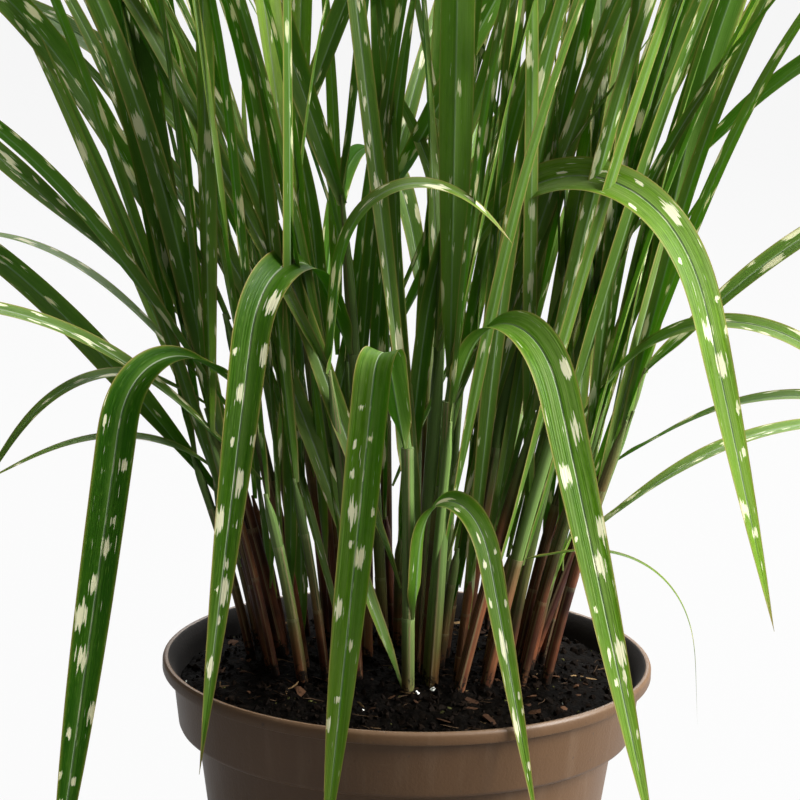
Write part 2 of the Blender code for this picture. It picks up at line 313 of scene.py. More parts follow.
def soil_height(x, y):
    """Height of the compost's crown over a spot, all in millimetres."""
    out = math.hypot(x, y)
    level = 148.1 - 0.9 * (out / 62.0) ** 2 if out < 62.0 else 147.2 - 4.7 * (out - 62.0) / 26.1
    spot = Vector((x, y, 0.0))
    lumps = noise.fractal(spot / 13.0, 1.0, 2.0, 4) * 1.5
    crumb = (0.5 - noise.voronoi(spot / 5.2)[0][0]) * 1.7 + (0.5 - noise.voronoi(spot / 2.3)[0][0]) * 0.8
    heap = sum(math.exp(-((x - s.x) ** 2 + (y - s.y) ** 2) / 40.0) for s in SHOOTS.values())
    return level + lumps + crumb + 1.8 * min(heap, 1.5) - 1.2 * max(0.0, (out - 85.0) / 3.0)


def soil_spots(out):
    """Spots round the pot's axis, all at one distance from it."""
    turns = [math.tau * k / SOIL_SIDES for k in range(SOIL_SIDES)]
    return [(out * math.cos(turn), out * math.sin(turn)) for turn in turns]


compost, tree, skin = new_material("compost", Specular_IOR_Level=0.02)
place = shader(tree, "ShaderNodeTexCoord").outputs["Object"]
lumps = grain(tree, place, 95.0, 6.0, 0.7)
clods = shader(tree, "ShaderNodeTexVoronoi", {"Vector": place, "Scale": 420.0}, feature="F1").outputs
fibres = grain(tree, stretched(tree, place, (1700.0, 260.0, 900.0)), 1.0, 4.0, 0.7)
base = blended(tree, eased(tree, lumps, 0.3, 0.75), colour(0.0008, 0.0006, 0.0004),
    colour(0.0032, 0.0021, 0.0013))
base = tinted(tree, base, eased(tree, fibres, 0.64, 0.74), 0.5, colour(0.050, 0.031, 0.018))
base = blended(tree, eased(tree, grain(tree, place, 700.0, 2.0), 0.72, 0.78), base,
    colour(0.055, 0.038, 0.024))
# Painted shade: towards the clods' edges, where the bump sinks into hollows, the colour is drawn to a flat
# dark brown.
base = blended(tree, eased(tree, clods["Distance"], 0.36, 0.72), base, colour(0.0016, 0.0012, 0.0009))
rough = plus(tree, times(tree, lumps, 0.35), 0.62)
height = less(tree, lumps, times(tree, clods["Distance"], 0.6))
finish_skin(tree, skin, base, rough, height, 0.0011)

bm = bmesh.new()
crown = [[bm.verts.new((0.0, 0.0, soil_height(0.0, 0.0)))]]
for ring in range(1, SOIL_RINGS + 1):
    out = SOIL_EDGE * ring / SOIL_RINGS
    crown.append([bm.verts.new((x, y, soil_height(x, y))) for x, y in soil_spots(out)])
for out, z in SOIL_BELOW:
    crown.append([bm.verts.new((x, y, z)) for x, y in soil_spots(out)])
crown.append([bm.verts.new((0.0, 0.0, SOIL_BOTTOM))])
for near, far in zip(crown, crown[1:]):
    for k in range(SOIL_SIDES):
        n = (k + 1) % SOIL_SIDES
        corners = [near[k % len(near)], far[k % len(far)], far[n % len(far)], near[n % len(near)]]
        bm.faces.new(list(dict.fromkeys(corners)))
soil = solid_object("compost_crown", bm, compost)
soil.data.shade_smooth()
fasten(soil, "compost", "potting_soil")

# ---------------------------------------------------------------- Crumbs, bark, straw and perlite
# Loose bits lie on the compost: peat crumbs, flakes of bark, dry straw and root fibres, a few grains
# of white perlite and some moss. Each kind is strewn over the crown and stays where it fell.


def tree_for(name, inputs):
    """A Geometry Nodes tree with a mesh in, a mesh out, and named inputs between."""
    made = bpy.data.node_groups.new(name, "GeometryNodeTree")
    made.interface.new_socket("Geometry", in_out="INPUT", socket_type="NodeSocketGeometry")
    for label, kind in inputs:
        made.interface.new_socket(label, in_out="INPUT", socket_type=kind)
    made.interface.new_socket("Geometry", in_out="OUTPUT", socket_type="NodeSocketGeometry")
    return made, made.nodes.new("NodeGroupInput").outputs, made.nodes.new("NodeGroupOutput").inputs


def worked(made, tree, values):
    """Give an object the tree with these inputs, and keep the result as a plain mesh."""
    modifier = made.modifiers.new(tree.name, "NODES")
    modifier.node_group = tree
    for socket in tree.interface.items_tree:
        if socket.in_out == "INPUT" and socket.name in values:
            modifier[socket.identifier] = values[socket.name]
    return settled(made)


strewn, strewn_in, strewn_out = tree_for("Strewn over the compost",
    [("Bit A", "NodeSocketObject"), ("Bit B", "NodeSocketObject"), ("Bit C", "NodeSocketObject"),
    ("Per square metre", "NodeSocketFloat"), ("Within", "NodeSocketFloat"), ("Seed", "NodeSocketInt"),
    ("Smallest", "NodeSocketFloat"), ("Largest", "NodeSocketFloat"), ("Tilt", "NodeSocketFloat"),
    ("Stretch", "NodeSocketFloat"), ("Material", "NodeSocketMaterial")])
normal = shader(strewn, "GeometryNodeInputNormal").outputs[0]
upness = split(strewn, normal)["Z"]
spot = shader(strewn, "GeometryNodeInputPosition").outputs[0]
flat = shader(strewn, "ShaderNodeVectorMath", {0: spot, 1: (1.0, 1.0, 0.0)}, operation="MULTIPLY").outputs[0]
out = shader(strewn, "ShaderNodeVectorMath", {0: flat}, operation="LENGTH").outputs["Value"]
inside = maths(strewn, "LESS_THAN", out, strewn_in["Within"])
spots = shader(strewn, "GeometryNodeDistributePointsOnFaces",
    {"Mesh": strewn_in["Geometry"],
    "Selection": times(strewn, inside, maths(strewn, "GREATER_THAN", upness, 0.35)),
    "Density": strewn_in["Per square metre"], "Seed": strewn_in["Seed"]})
bits = shader(strewn, "GeometryNodeJoinGeometry")
for label in ("Bit C", "Bit B", "Bit A"):
    bit = shader(strewn, "GeometryNodeObjectInfo", {"Object": strewn_in[label], "As Instance": True})
    strewn.links.new(bit.outputs["Geometry"], bits.inputs["Geometry"])


def chance(tree, low, high, seed, kind="FLOAT"):
    """A seeded random value for each bit, from the sockets that belong to its kind."""
    least, most, drawn = {"FLOAT": (2, 3, 1), "INT": (4, 5, 2)}[kind]
    feeds = {least: low, most: high, "Seed": seed}
    return shader(tree, "FunctionNodeRandomValue", feeds, data_type=kind).outputs[drawn]


def joined(tree, x, y, z):
    return shader(tree, "ShaderNodeCombineXYZ", {"X": x, "Y": y, "Z": z}).outputs[0]


tilt = strewn_in["Tilt"]
lean_back = times(strewn, tilt, -1.0)
turn = joined(strewn, chance(strewn, lean_back, tilt, 11), chance(strewn, lean_back, tilt, 12),
    chance(strewn, 0.0, math.tau, 13))
small_more = maths(strewn, "POWER", chance(strewn, 0.0, 1.0, 14), 2.2)
size = shader(strewn, "ShaderNodeMapRange", {
    "Value": small_more, "To Min": strewn_in["Smallest"], "To Max": strewn_in["Largest"]}).outputs[0]
longer = chance(strewn, 1.0, strewn_in["Stretch"], 15)
scale = joined(strewn, times(strewn, size, longer), size, times(strewn, size, chance(strewn, 0.7, 1.1, 16)))
lying = shader(strewn, "GeometryNodeInstanceOnPoints", {
    "Points": spots.outputs["Points"], "Instance": bits.outputs[0], "Pick Instance": True,
    "Instance Index": chance(strewn, 0, 2, 17, "INT"), "Rotation": turn, "Scale": scale})
toned = shader(strewn, "GeometryNodeStoreNamedAttribute", {
    "Geometry": lying.outputs[0], "Name": "bit_tone", "Value": chance(strewn, 0.0, 1.0, 18)},
    data_type="FLOAT", domain="INSTANCE")
whole = shader(strewn, "GeometryNodeRealizeInstances", {"Geometry": toned.outputs[0]})
painted = shader(strewn, "GeometryNodeSetMaterial", {
    "Geometry": whole.outputs[0], "Material": strewn_in["Material"]})
strewn.links.new(painted.outputs[0], strewn_out["Geometry"])


def grit(name, seed, flat, corners=13):
    """A closed, angular bit about 1 mm across, as the hull of a few points."""
    rng = random.Random(seed)
    bm = bmesh.new()
    for _ in range(corners):
        spot = Vector((rng.gauss(0, 1), rng.gauss(0, 1), rng.gauss(0, 1))).normalized()
        spot = spot * rng.uniform(0.4, 0.55)
        bm.verts.new((spot.x, spot.y, spot.z * flat))
    hull = bmesh.ops.convex_hull(bm, input=bm.verts)
    spare = [v for v in hull["geom_interior"] if isinstance(v, bmesh.types.BMVert)]
    bmesh.ops.delete(bm, geom=spare, context="VERTS")
    return solid_object(name, bm, None)


def wisp(name, seed, bend, thick):
    """A closed bit of straw about 1 mm long with a wandering line, three-sided."""
    rng = random.Random(seed)
    bm = bmesh.new()
    line = Vector((-0.5, 0.0, 0.0))
    heading = rng.uniform(-bend, bend)
    rings = []
    for k in range(7):
        wide = thick * (0.35 if k in (0, 6) else rng.uniform(0.8, 1.15))
        side = Vector((-math.sin(heading), math.cos(heading), 0.0))
        rings.append([bm.verts.new(line + side * wide), bm.verts.new(line - side * wide),
                      bm.verts.new(line + Vector((0.0, 0.0, wide * 1.2)))])
        heading += rng.uniform(-bend, bend)
        line = line + Vector((math.cos(heading), math.sin(heading), rng.uniform(-0.12, 0.12))) / 6.0
    for low, high in zip(rings, rings[1:]):
        for k in range(3):
            bm.faces.new((low[k], low[(k + 1) % 3], high[(k + 1) % 3], high[k]))
    bm.faces.new(rings[0][::-1])
    bm.faces.new(rings[-1])
    return solid_object(name, bm, None)


def read(tree, name, output="Vector"):
    return shader(tree, "ShaderNodeAttribute", attribute_name=name).outputs[output]


def bit_material(name, dark, light, scale, dusty):
    """Loose bits differ in tone from one to the next, and are soiled by the compost."""
    made, tree, skin = new_material(name, Specular_IOR_Level=0.03)
    place = shader(tree, "ShaderNodeTexCoord").outputs["Object"]
    tone = read(tree, "bit_tone", "Fac")
    fine = grain(tree, place, scale, 4.0)
    base = blended(tree, plus(tree, times(tree, tone, 0.7), times(tree, fine, 0.3)), dark, light)
    soiled = placed(tree, earth_dust, {"Place": place, "Reach": dusty, "Patch size": 480.0})
    base = blended(tree, soiled["Mask"], base, soiled["Colour"])
    finish_skin(tree, skin, base, plus(tree, times(tree, fine, 0.3), 0.6), fine, 0.0003)
    return made


BITS = {
    # name: (shapes, per square metre, seed, smallest, largest, tilt, stretch, material)
    "peat_crumbs": (
        [grit("crumb_a", 1, 0.9), grit("crumb_b", 2, 0.8), grit("crumb_c", 3, 0.7)],
        95000, 5, 0.7, 3.6, 3.0, 1.5,
        bit_material("peat", colour(0.0010, 0.0007, 0.0005), colour(0.0065, 0.0038, 0.0022), 900.0, 0.4)),
    "bark_flakes": (
        [grit("flake_a", 7, 0.28), grit("flake_b", 8, 0.35), grit("flake_c", 9, 0.22)],
        5200, 15, 1.2, 5.5, 0.5, 2.4,
        bit_material("bark", colour(0.008, 0.004, 0.0025), colour(0.085, 0.042, 0.022), 500.0, 0.42)),
    "straw_bits": (
        [wisp("straw_a", 21, 0.30, 0.042), wisp("straw_b", 22, 0.45, 0.032),
         wisp("straw_c", 23, 0.20, 0.055)],
        1700, 27, 4.0, 15.0, 0.22, 1.2,
        bit_material("straw", colour(0.030, 0.016, 0.008), colour(0.210, 0.135, 0.062), 300.0, 0.40)),
    "root_hairs": (
        [wisp("root_a", 31, 0.80, 0.013), wisp("root_b", 32, 0.95, 0.010),
         wisp("root_c", 33, 0.70, 0.016)],
        9000, 37, 5.0, 16.0, 0.35, 1.2,
        bit_material("root", colour(0.018, 0.009, 0.005), colour(0.085, 0.052, 0.028), 300.0, 0.40)),
    "perlite_grains": (
        [grit("perlite_a", 41, 0.9), grit("perlite_b", 42, 0.8), grit("perlite_c", 43, 0.95)],
        900, 44, 1.0, 3.2, 3.0, 1.2,
        bit_material("perlite", colour(0.42, 0.42, 0.38), colour(0.78, 0.78, 0.74), 1200.0, 0.34)),
    "moss_tufts": (
        [grit("moss_a", 51, 0.6), grit("moss_b", 52, 0.7), grit("moss_c", 53, 0.5)],
        2600, 58, 0.8, 2.4, 1.0, 1.4,
        bit_material("moss", colour(0.020, 0.022, 0.006), colour(0.085, 0.080, 0.025), 1500.0, 0.45)),
}
for name, (shapes, spread, seed, smallest, largest, tilt, stretch, finish) in BITS.items():
    piece = shown(name, soil.data.copy())
    for shape in shapes:
        shape.data.transform(Matrix.Scale(1.0 / MM, 4))
    worked(piece, strewn, {
        "Bit A": shapes[0], "Bit B": shapes[1], "Bit C": shapes[2], "Per square metre": float(spread),
        "Within": (SOIL_EDGE - 0.6 * largest) * MM, "Seed": seed, "Smallest": smallest * MM,
        "Largest": largest * MM, "Tilt": tilt, "Stretch": stretch, "Material": finish})
    for shape in shapes:
        bpy.data.objects.remove(shape)
    fasten(piece, "compost")

# ---------------------------------------------------------------- Culms and their sheaths
# Each culm is a stack of leaf sheaths rolled round one another. Every sheath starts at a node, is
# lapped down one side, and ends in a pale collar where its blade leaves. Old ones are purple-brown.


def smooth(t):
    t = min(max(t, 0.0), 1.0)
    return t * t * (3.0 - 2.0 * t)


def direction(heading, elevation):
    h, e = math.radians(heading), math.radians(elevation)
    return Vector((math.cos(e) * math.cos(h), math.cos(e) * math.sin(h), math.sin(e)))


CULM_FOOT = 12.0
CROWN_LEVEL = 148.0


def culm_line(shoot, steps):
    """Points up a culm's middle, from below the compost's crown, in millimetres."""
    point = Vector((shoot.x, shoot.y, CROWN_LEVEL - CULM_FOOT))
    points = [point.copy()]
    step = (shoot.height + CULM_FOOT) / steps
    for k in range(steps):
        lean = shoot.foot_lean + (shoot.top_lean - shoot.foot_lean) * (k + 0.5) / steps
        point = point + step * direction(shoot.heading, 90.0 - lean)
        points.append(point.copy())
    return points


def up_the_culm(shoot, share, steps=5):
    points = culm_line(shoot, steps)
    k = min(int(share * steps), steps - 1)
    return points[k] + (share * steps - k) * (points[k + 1] - points[k])


class Lines:
    """Middle lines of sheaths or blades, with what each point says about its section."""

    def __init__(self):
        self.points, self.edges = [], []
        self.facts = {"half_width": [], "share": [], "along": [], "fold": [], "tone": [], "warmth": [],
                      "line_seed": [], "upward": []}

    def add(self, stations, tone, warmth, seed):
        """stations: (point in mm, upward, half width in mm, share of the length, fold)."""
        start = len(self.points)
        along = 0.0
        for k, (point, upward, half, share, fold) in enumerate(stations):
            if k:
                along += (point - stations[k - 1][0]).length * MM
                self.edges.append((start + k - 1, start + k))
            self.points.append(point * MM)
            for key, value in (("half_width", half * MM), ("share", share), ("along", along), ("fold", fold),
                               ("tone", tone), ("warmth", warmth), ("line_seed", seed),
                               ("upward", upward)):
                self.facts[key].append(value)

    def mesh(self, name):
        made = bpy.data.meshes.new(name)
        made.from_pydata(self.points, self.edges, [])
        for key, values in self.facts.items():
            if key == "upward":
                layer = made.attributes.new(key, "FLOAT_VECTOR", "POINT")
                layer.data.foreach_set("vector", np.array(values, np.float32).ravel())
            else:
                layer = made.attributes.new(key, "FLOAT", "POINT")
                layer.data.foreach_set("value", np.array(values, np.float32))
        return made


def section(name, outline):
    """A closed cross-section of unit half-width: (lift, across, across share, side) round its edge."""
    mesh = bpy.data.meshes.new(name)
    mesh.from_pydata([(lift, across, 0.0) for lift, across, _, _ in outline],
                     [(k, (k + 1) % len(outline)) for k in range(len(outline))], [])
    for label, index in (("across", 2), ("side", 3)):
        layer = mesh.attributes.new(label, "FLOAT", "POINT")
        layer.data.foreach_set("value", [row[index] for row in outline])
    return shown(name, mesh)


grown, grown_in, grown_out = tree_for("Grown along a line", [
    ("Section", "NodeSocketObject"), ("Ripple", "NodeSocketFloat"), ("Ripple length", "NodeSocketFloat"),
    ("Material", "NodeSocketMaterial")])


def told(tree, name, kind="FLOAT"):
    made = shader(tree, "GeometryNodeInputNamedAttribute", {"Name": name}, data_type=kind)
    return made.outputs["Attribute"]


line = shader(grown, "GeometryNodeMeshToCurve", {"Mesh": grown_in["Geometry"]}).outputs[0]
line = shader(grown, "GeometryNodeSetCurveNormal", {
    "Curve": line, "Normal": told(grown, "upward", "FLOAT_VECTOR")}, mode="FREE").outputs[0]
rim = shader(grown, "GeometryNodeObjectInfo", {"Object": grown_in["Section"]}).outputs["Geometry"]
rim = shader(grown, "GeometryNodeMeshToCurve", {"Mesh": rim}).outputs[0]
body = shader(grown, "GeometryNodeCurveToMesh", {
    "Curve": line, "Profile Curve": rim, "Scale": told(grown, "half_width"), "Fill Caps": True}).outputs[0]
off_rib = maths(grown, "ABSOLUTE", told(grown, "across"))
wave_at = joined(grown, maths(grown, "DIVIDE", told(grown, "along"), grown_in["Ripple length"]),
    times(grown, told(grown, "across"), 0.8), times(grown, told(grown, "line_seed"), 37.0))
wave = shader(grown, "ShaderNodeTexNoise", {"Vector": wave_at, "Scale": 1.0, "Detail": 2.0}).outputs[0]
wave = times(grown, less(grown, wave, 0.5), grown_in["Ripple"])
wave = times(grown, wave, maths(grown, "POWER", off_rib, 1.5))
rise = times(grown, told(grown, "fold"), maths(grown, "POWER", off_rib, 1.25))
rise = times(grown, plus(grown, rise, wave), told(grown, "half_width"))
shift = shader(grown, "ShaderNodeVectorMath", {
    0: told(grown, "upward", "FLOAT_VECTOR"), "Scale": rise}, operation="SCALE").outputs[0]
body = shader(grown, "GeometryNodeSetPosition", {"Geometry": body, "Offset": shift}).outputs[0]
spread = times(grown, told(grown, "across"), told(grown, "half_width"))
for label, x, y, z in (("blade_place", told(grown, "along"), spread, told(grown, "share")),
                       ("blade_look", told(grown, "across"), told(grown, "tone"), told(grown, "line_seed")),
                       ("blade_age", told(grown, "warmth"), told(grown, "side"), told(grown, "half_width"))):
    value = joined(grown, x, y, z)
    body = shader(grown, "GeometryNodeStoreNamedAttribute",
        {"Geometry": body, "Name": label, "Value": value}, data_type="FLOAT_VECTOR",
        domain="POINT").outputs[0]
for label in ("half_width", "share", "along", "fold", "tone", "warmth", "line_seed", "upward",
              "across", "side"):
    body = shader(grown, "GeometryNodeRemoveAttribute", {"Geometry": body, "Name": label}).outputs[0]
body = shader(grown, "GeometryNodeRealizeInstances", {"Geometry": body}).outputs[0]
body = shader(grown, "GeometryNodeSetMaterial", {
    "Geometry": body, "Material": grown_in["Material"]}).outputs[0]
grown.links.new(body, grown_out["Geometry"])


def grow(name, lines, rim, ripple, ripple_length, material, crease=60.0):
    """Turn middle lines into the finished sheaths or blades, as one closed mesh for each line."""
    made = shown(name, lines.mesh(name))
    worked(made, grown, {"Section": rim, "Ripple": ripple, "Ripple length": ripple_length,
                         "Material": material})
    made.data.shade_smooth()
    made.data.set_sharp_from_angle(angle=math.radians(crease))
    return made


# Parallel veins run the length of blades and sheaths alike; they colour and crease both.
veins, veins_in, veins_out = effect("Grass veins",
    [("Place", "vector", None), ("Seed", "value", 0.0), ("Per metre", "value", 1500.0)],
    [("Veins", "value"), ("Streaks", "value"), ("Mottle", "value"), ("Fingers", "value"),
    ("Grain", "value")])
cut = split(veins, veins_in["Place"])
start = times(veins, veins_in["Seed"], 61.7)
for label, along, across, detail, rough in (
        ("Veins", 9.0, veins_in["Per metre"], 2.0, 0.5), ("Streaks", 16.0, 420.0, 3.0, 0.6),
        ("Fingers", 70.0, 1250.0, 2.0, 0.6), ("Grain", 240.0, 2100.0, 1.0, 0.6),
        ("Mottle", 30.0, 60.0, 3.0, 0.6)):
    lane = joined(veins, times(veins, cut["X"], along), times(veins, cut["Y"], across), start)
    veins.links.new(grain(veins, lane, 1.0, detail, rough), veins_out[label])

sheath_skin, tree, skin = new_material("reed", Specular_IOR_Level=0.14)
spot = read(tree, "blade_place")
look = read(tree, "blade_look")
age = read(tree, "blade_age")
place = shader(tree, "ShaderNodeTexCoord").outputs["Object"]
up = split(tree, place)["Z"]
share = split(tree, spot)["Z"]
around, tone, seed = split(tree, look)
warmth = split(tree, age)["X"]
lines = placed(tree, veins, {"Place": spot, "Seed": seed, "Per metre": 2600.0})
green = blended(tree, tone, colour(0.036, 0.080, 0.010), colour(0.130, 0.225, 0.045))
green = tinted(tree, green, lines["Streaks"], 0.55, colour(0.180, 0.250, 0.090))
rust = blended(tree, eased(tree, lines["Mottle"], 0.35, 0.65), colour(0.030, 0.010, 0.007),
    colour(0.135, 0.044, 0.018))
rust = tinted(tree, rust, eased(tree, lines["Streaks"], 0.5, 0.75), 0.45, colour(0.190, 0.115, 0.050))
fade = plus(tree, times(tree, warmth, 1.25), times(tree, lines["Streaks"], 0.5))
fade = less(tree, fade, times(tree, less(tree, up, 0.15), 9.0))
base = blended(tree, eased(tree, fade, 0.25, 0.85), green, rust)
papery = times(tree, eased(tree, maths(tree, "ABSOLUTE", around), 0.86, 0.97), 0.75)
base = blended(tree, papery, base, colour(0.210, 0.155, 0.080))
collar = times(tree, eased(tree, share, 0.955, 0.985), 0.16)
base = blended(tree, collar, base, colour(0.330, 0.340, 0.180))
node_ring = times(tree, eased(tree, share, 0.035, 0.012), 0.25)
base = blended(tree, node_ring, base, colour(0.120, 0.060, 0.028))
base = tinted(tree, base, eased(tree, lines["Veins"], 0.45, 0.7), 0.35, colour(0.020, 0.016, 0.008))
low = times(tree, eased(tree, up, 0.172, 0.143), 0.72)
soiled = placed(tree, earth_dust, {"Place": place, "Reach": low, "Patch size": 420.0})
base = blended(tree, soiled["Mask"], base, soiled["Colour"])
rough = plus(tree, times(tree, lines["Mottle"], 0.25), 0.36)
finish_skin(tree, skin, base, rough, lines["Veins"], 0.00035)

lap = [(1.0 + 0.10 * k / 18, math.tau * k / 19) for k in range(19)]
sheath_rim = section("sheath_section", [
    (-r * math.cos(a), r * math.sin(a), 1.0 - 2.0 * k / 18, 1.0) for k, (r, a) in enumerate(lap)][::-1])

Blade = namedtuple("Blade", "shoot share heading rise fall bend soft length width roll taper")
BLADES = [
    Blade("03", 0.85, -142, 38, -81, 0.165, 0.13, 258, 15, -44, 4),
    Blade("16", 0.72, -124, 62, -80, 0.24, 0.16, 260, 15.5, -35, 2.4),
    Blade("07", 0.97, -109, 63, -76, 0.22, 0.06, 238, 14.5, 0, 4),
    Blade("08", 0.96, -48, 75, -70, 0.19, 0.17, 254, 16, 34, 2.6),
    Blade("07", 0.38, -50, 86, -72, 0.31, 0.19, 190, 10.5, 28, 2.6),
    Blade("15", 1.03, -24, 74, -75, 0.34, 0.28, 292, 16, 45, 3),
    Blade("06", 1.04, -8, 86, -50, 0.62, 0.38, 130, 12, 30, 2),
    Blade("02", 0.58, 200, 44, -25, 0.40, 0.50, 110, 6, -20, 2),
    Blade("02", 0.80, 206, 34, -55, 0.40, 0.40, 125, 7, -20, 2.5),
    Blade("02", 0.45, 172, 50, 5, 0.60, 0.50, 300, 11, -60, 3),
    Blade("03", 0.60, 192, 45, -40, 0.55, 0.50, 260, 9, -25, 3),
    Blade("01", 0.70, 160, 42, -50, 0.50, 0.45, 230, 8, 0, 3),
    Blade("01", 0.85, 204, 42, -20, 0.62, 0.35, 320, 12, -50, 3),
    Blade("04", 0.90, 150, 55, -10, 0.40, 0.45, 320, 12, -30, 3),
    Blade("01", 1.03, 168, 62, 0, 0.45, 0.45, 330, 12.5, -60, 3),
    Blade("02", 1.03, 188, 78, 40, 0.70, 0.30, 380, 18, -90, 4),
    Blade("05", 1.03, 218, 80, 30, 0.65, 0.35, 350, 17, -70, 4),
    Blade("04", 1.03, 30, 84, 50, 0.60, 0.40, 350, 10, 80, 4),
    Blade("16", 1.03, 160, 68, 30, 0.60, 0.40, 340, 13, -70, 4),
    Blade("08", 1.03, -100, 88, -10, 0.66, 0.34, 370, 13, 0, 4),
    Blade("14", 1.03, -14, 80, 20, 0.64, 0.36, 360, 13, 60, 4),
    Blade("17", 1.03, 60, 84, 30, 0.60, 0.40, 350, 11, 60, 4),
    Blade("11", 1.03, -24, 76, 20, 0.60, 0.40, 350, 12, 60, 4),
    Blade("13", 1.03, 12, 66, 30, 0.50, 0.40, 350, 12, 70, 4),
    Blade("13", 0.90, -30, 50, -22, 0.54, 0.40, 326, 11, 42, 4),
    Blade("12", 1.03, 8, 46, -10, 0.50, 0.50, 260, 9, 40, 3),
    Blade("11", 0.62, -28, 62, -50, 0.38, 0.35, 250, 9, 30, 3),
    Blade("12", 0.75, -32, 36, -60, 0.50, 0.50, 240, 8, 20, 3),
    Blade("12", 0.50, 14, 38, -40, 0.50, 0.50, 220, 8, 20, 3),
    Blade("10", 0.50, -5, 14, -86, 0.44, 0.40, 115, 4, 0, 2),
    Blade("22", 1.03, 80, 76, -60, 0.55, 0.40, 350, 11, 0, 3),
    Blade("22", 0.80, 110, 62, -76, 0.36, 0.32, 290, 11, 0, 3),
    Blade("20", 1.03, 130, 72, -60, 0.55, 0.40, 340, 11, 0, 3),
    Blade("21", 1.03, 45, 68, -60, 0.52, 0.40, 340, 11, 0, 3),
    Blade("19", 1.03, 100, 84, 0, 0.65, 0.35, 350, 11, 0, 4),
    Blade("18", 1.03, 50, 80, 10, 0.65, 0.35, 350, 11, 40, 4),
]

# Secondary blades stand between the main ones on the same culms. The seed fixes where.
rng = random.Random(303)
ROOM_LOW = [1000.0 * (low - 0.03 * (high - low)) - 8.0 for low, high in zip(*cad_box)]
ROOM_HIGH = [1000.0 * (high + 0.03 * (high - low)) + 8.0 for low, high in zip(*cad_box)]


def blade_stations(blade, steps):
    """A blade's stations along its midrib: point, upward, half width, share of its length, fold."""
    shoot = SHOOTS[blade.shoot]
    beside = shoot.radius + 0.9 if blade.share < 1.0 else 0.0
    point = up_the_culm(shoot, blade.share) + beside * direction(blade.heading, 0.0)
    stations = []
    before = None
    for k in range(steps + 1):
        u = k / steps
        bent = smooth((u - blade.bend + blade.soft) / (2.0 * blade.soft))
        along = direction(blade.heading, blade.rise + (blade.fall - blade.rise) * bent)
        across = direction(blade.heading + 90.0, 0.0)
        rolled = smooth(u / 0.3) if blade.share < 1.0 else 1.0
        upward = Matrix.Rotation(math.radians(blade.roll * rolled), 3, along) @ along.cross(across)
        foot = 0.14 if blade.share < 1.0 else 0.28
        spread = foot + (0.56 - foot) * smooth(u / 0.07) + 0.44 * smooth(u / 0.3)
        width = blade.width * spread * (1.0 - u ** blade.taper)
        if before:
            point = point + blade.length / steps * (along + before) / 2.0
        before = along
        fold = 0.11 + 0.85 * (1.0 - smooth(u / 0.08)) + 0.22 * (1.0 - smooth(u / 0.6))
        stations.append((point.copy(), upward, max(width, 0.16) / 2.0, u, fold))
    return stations


# Where each culm's blades leave it: its sheaths end there.
def shares_on(number, blades):
    return sorted({round(min(b.share, 1.0), 3) for b in blades if b.shoot == number})


def spaced(shares):
    """Sheaths that would end within a tenth of one another are one."""
    kept = []
    for share in shares:
        if share < 0.98 and (not kept or share - kept[-1] > 0.1):
            kept.append(share)
    return kept or [0.55]


def fits(blade):
    """Whether a blade stays in the room that the whole plant takes."""
    for point, _, half, _, _ in blade_stations(blade, 12):
        for axis in range(3):
            if not ROOM_LOW[axis] + half < point[axis] < ROOM_HIGH[axis] - half:
                return False
    return True


def out_of_the_way(blade):
    """Keep clear of the open front, where blades arch over the lip, and of the compost."""
    for point, _, _, share, _ in blade_stations(blade, 10):
        if point.y < -45.0 and point.z < 430.0 and abs(point.x) < 200.0:
            return False
        if share > 0.45 and point.z < 230.0:
            return False
    return True


FILLERS = []
TRIES = 20


def try_blade(number, share, headings, rises, drops, lengths, widths, shortest):
    """One secondary blade with seeded sizes, shortened until it fits, or none."""
    for _ in range(TRIES):
        rise = rng.uniform(*rises)
        made = Blade(number, share, rng.uniform(*headings), rise, rise - rng.uniform(*drops),
                     rng.uniform(0.5, 0.8), rng.uniform(0.28, 0.45), rng.uniform(*lengths),
                     rng.uniform(*widths), rng.uniform(-70, 70), rng.uniform(2.6, 4.0))
        while made.length > shortest and not fits(made):
            made = made._replace(length=made.length * 0.93)
        if made.length > shortest and out_of_the_way(made):
            FILLERS.append(made)
            return True
    return False


for number, shoot in SHOOTS.items():
    ahead = shoot.heading
    outer = abs(shoot.x) > 25 or shoot.y > 30
    for k, share in enumerate((0.12, 0.28, 0.48) if shoot.y < 20 and shoot.x < 35 else (0.40,)):
        turn = (-75, 80, -5)[k]
        try_blade(number, share, (ahead + turn - 40, ahead + turn + 40), (58, 84), (6, 44),
                  (260, 400), (5.0, 9.5), 200)
    for share in (1.03, 0.78) if int(number) % 2 and shoot.x < 25 else (1.03,):
        try_blade(number, share, (ahead - 110, ahead + 110), (60, 84), (6, 44), (230, 400), (7.0, 12.5), 150)
    if not any(b.shoot == number and b.share > 1.0 for b in BLADES + FILLERS):
        try_blade(number, 1.03, (0, 360), (82, 88), (4, 12), (200, 300), (8.0, 11.0), 120)
    for share in (0.70,) if outer and -42 < shoot.x < 20 else ():
        try_blade(number, share, (ahead - 42, ahead + 42), (46, 66), (12, 60), (230, 400), (5.0, 10.0), 150)

LOOKS = {
    # culm: (tone, from dull to light green; warmth, from green to purple-brown)
    "01": (0.25, 0.95), "02": (0.35, 0.90), "03": (0.20, 0.95), "04": (0.30, 0.75), "05": (0.25, 0.80),
    "06": (0.35, 0.60), "07": (0.45, 0.30), "08": (0.45, 0.35), "09": (0.45, 0.85), "10": (0.55, 0.60),
    "11": (0.60, 0.50), "12": (0.50, 1.00), "13": (0.60, 0.45), "14": (0.40, 0.70), "15": (0.45, 0.50),
    "16": (0.40, 0.50), "17": (0.35, 0.60), "18": (0.55, 0.70), "19": (0.35, 0.75), "20": (0.30, 0.85),
    "21": (0.50, 0.80), "22": (0.40, 0.80),
}


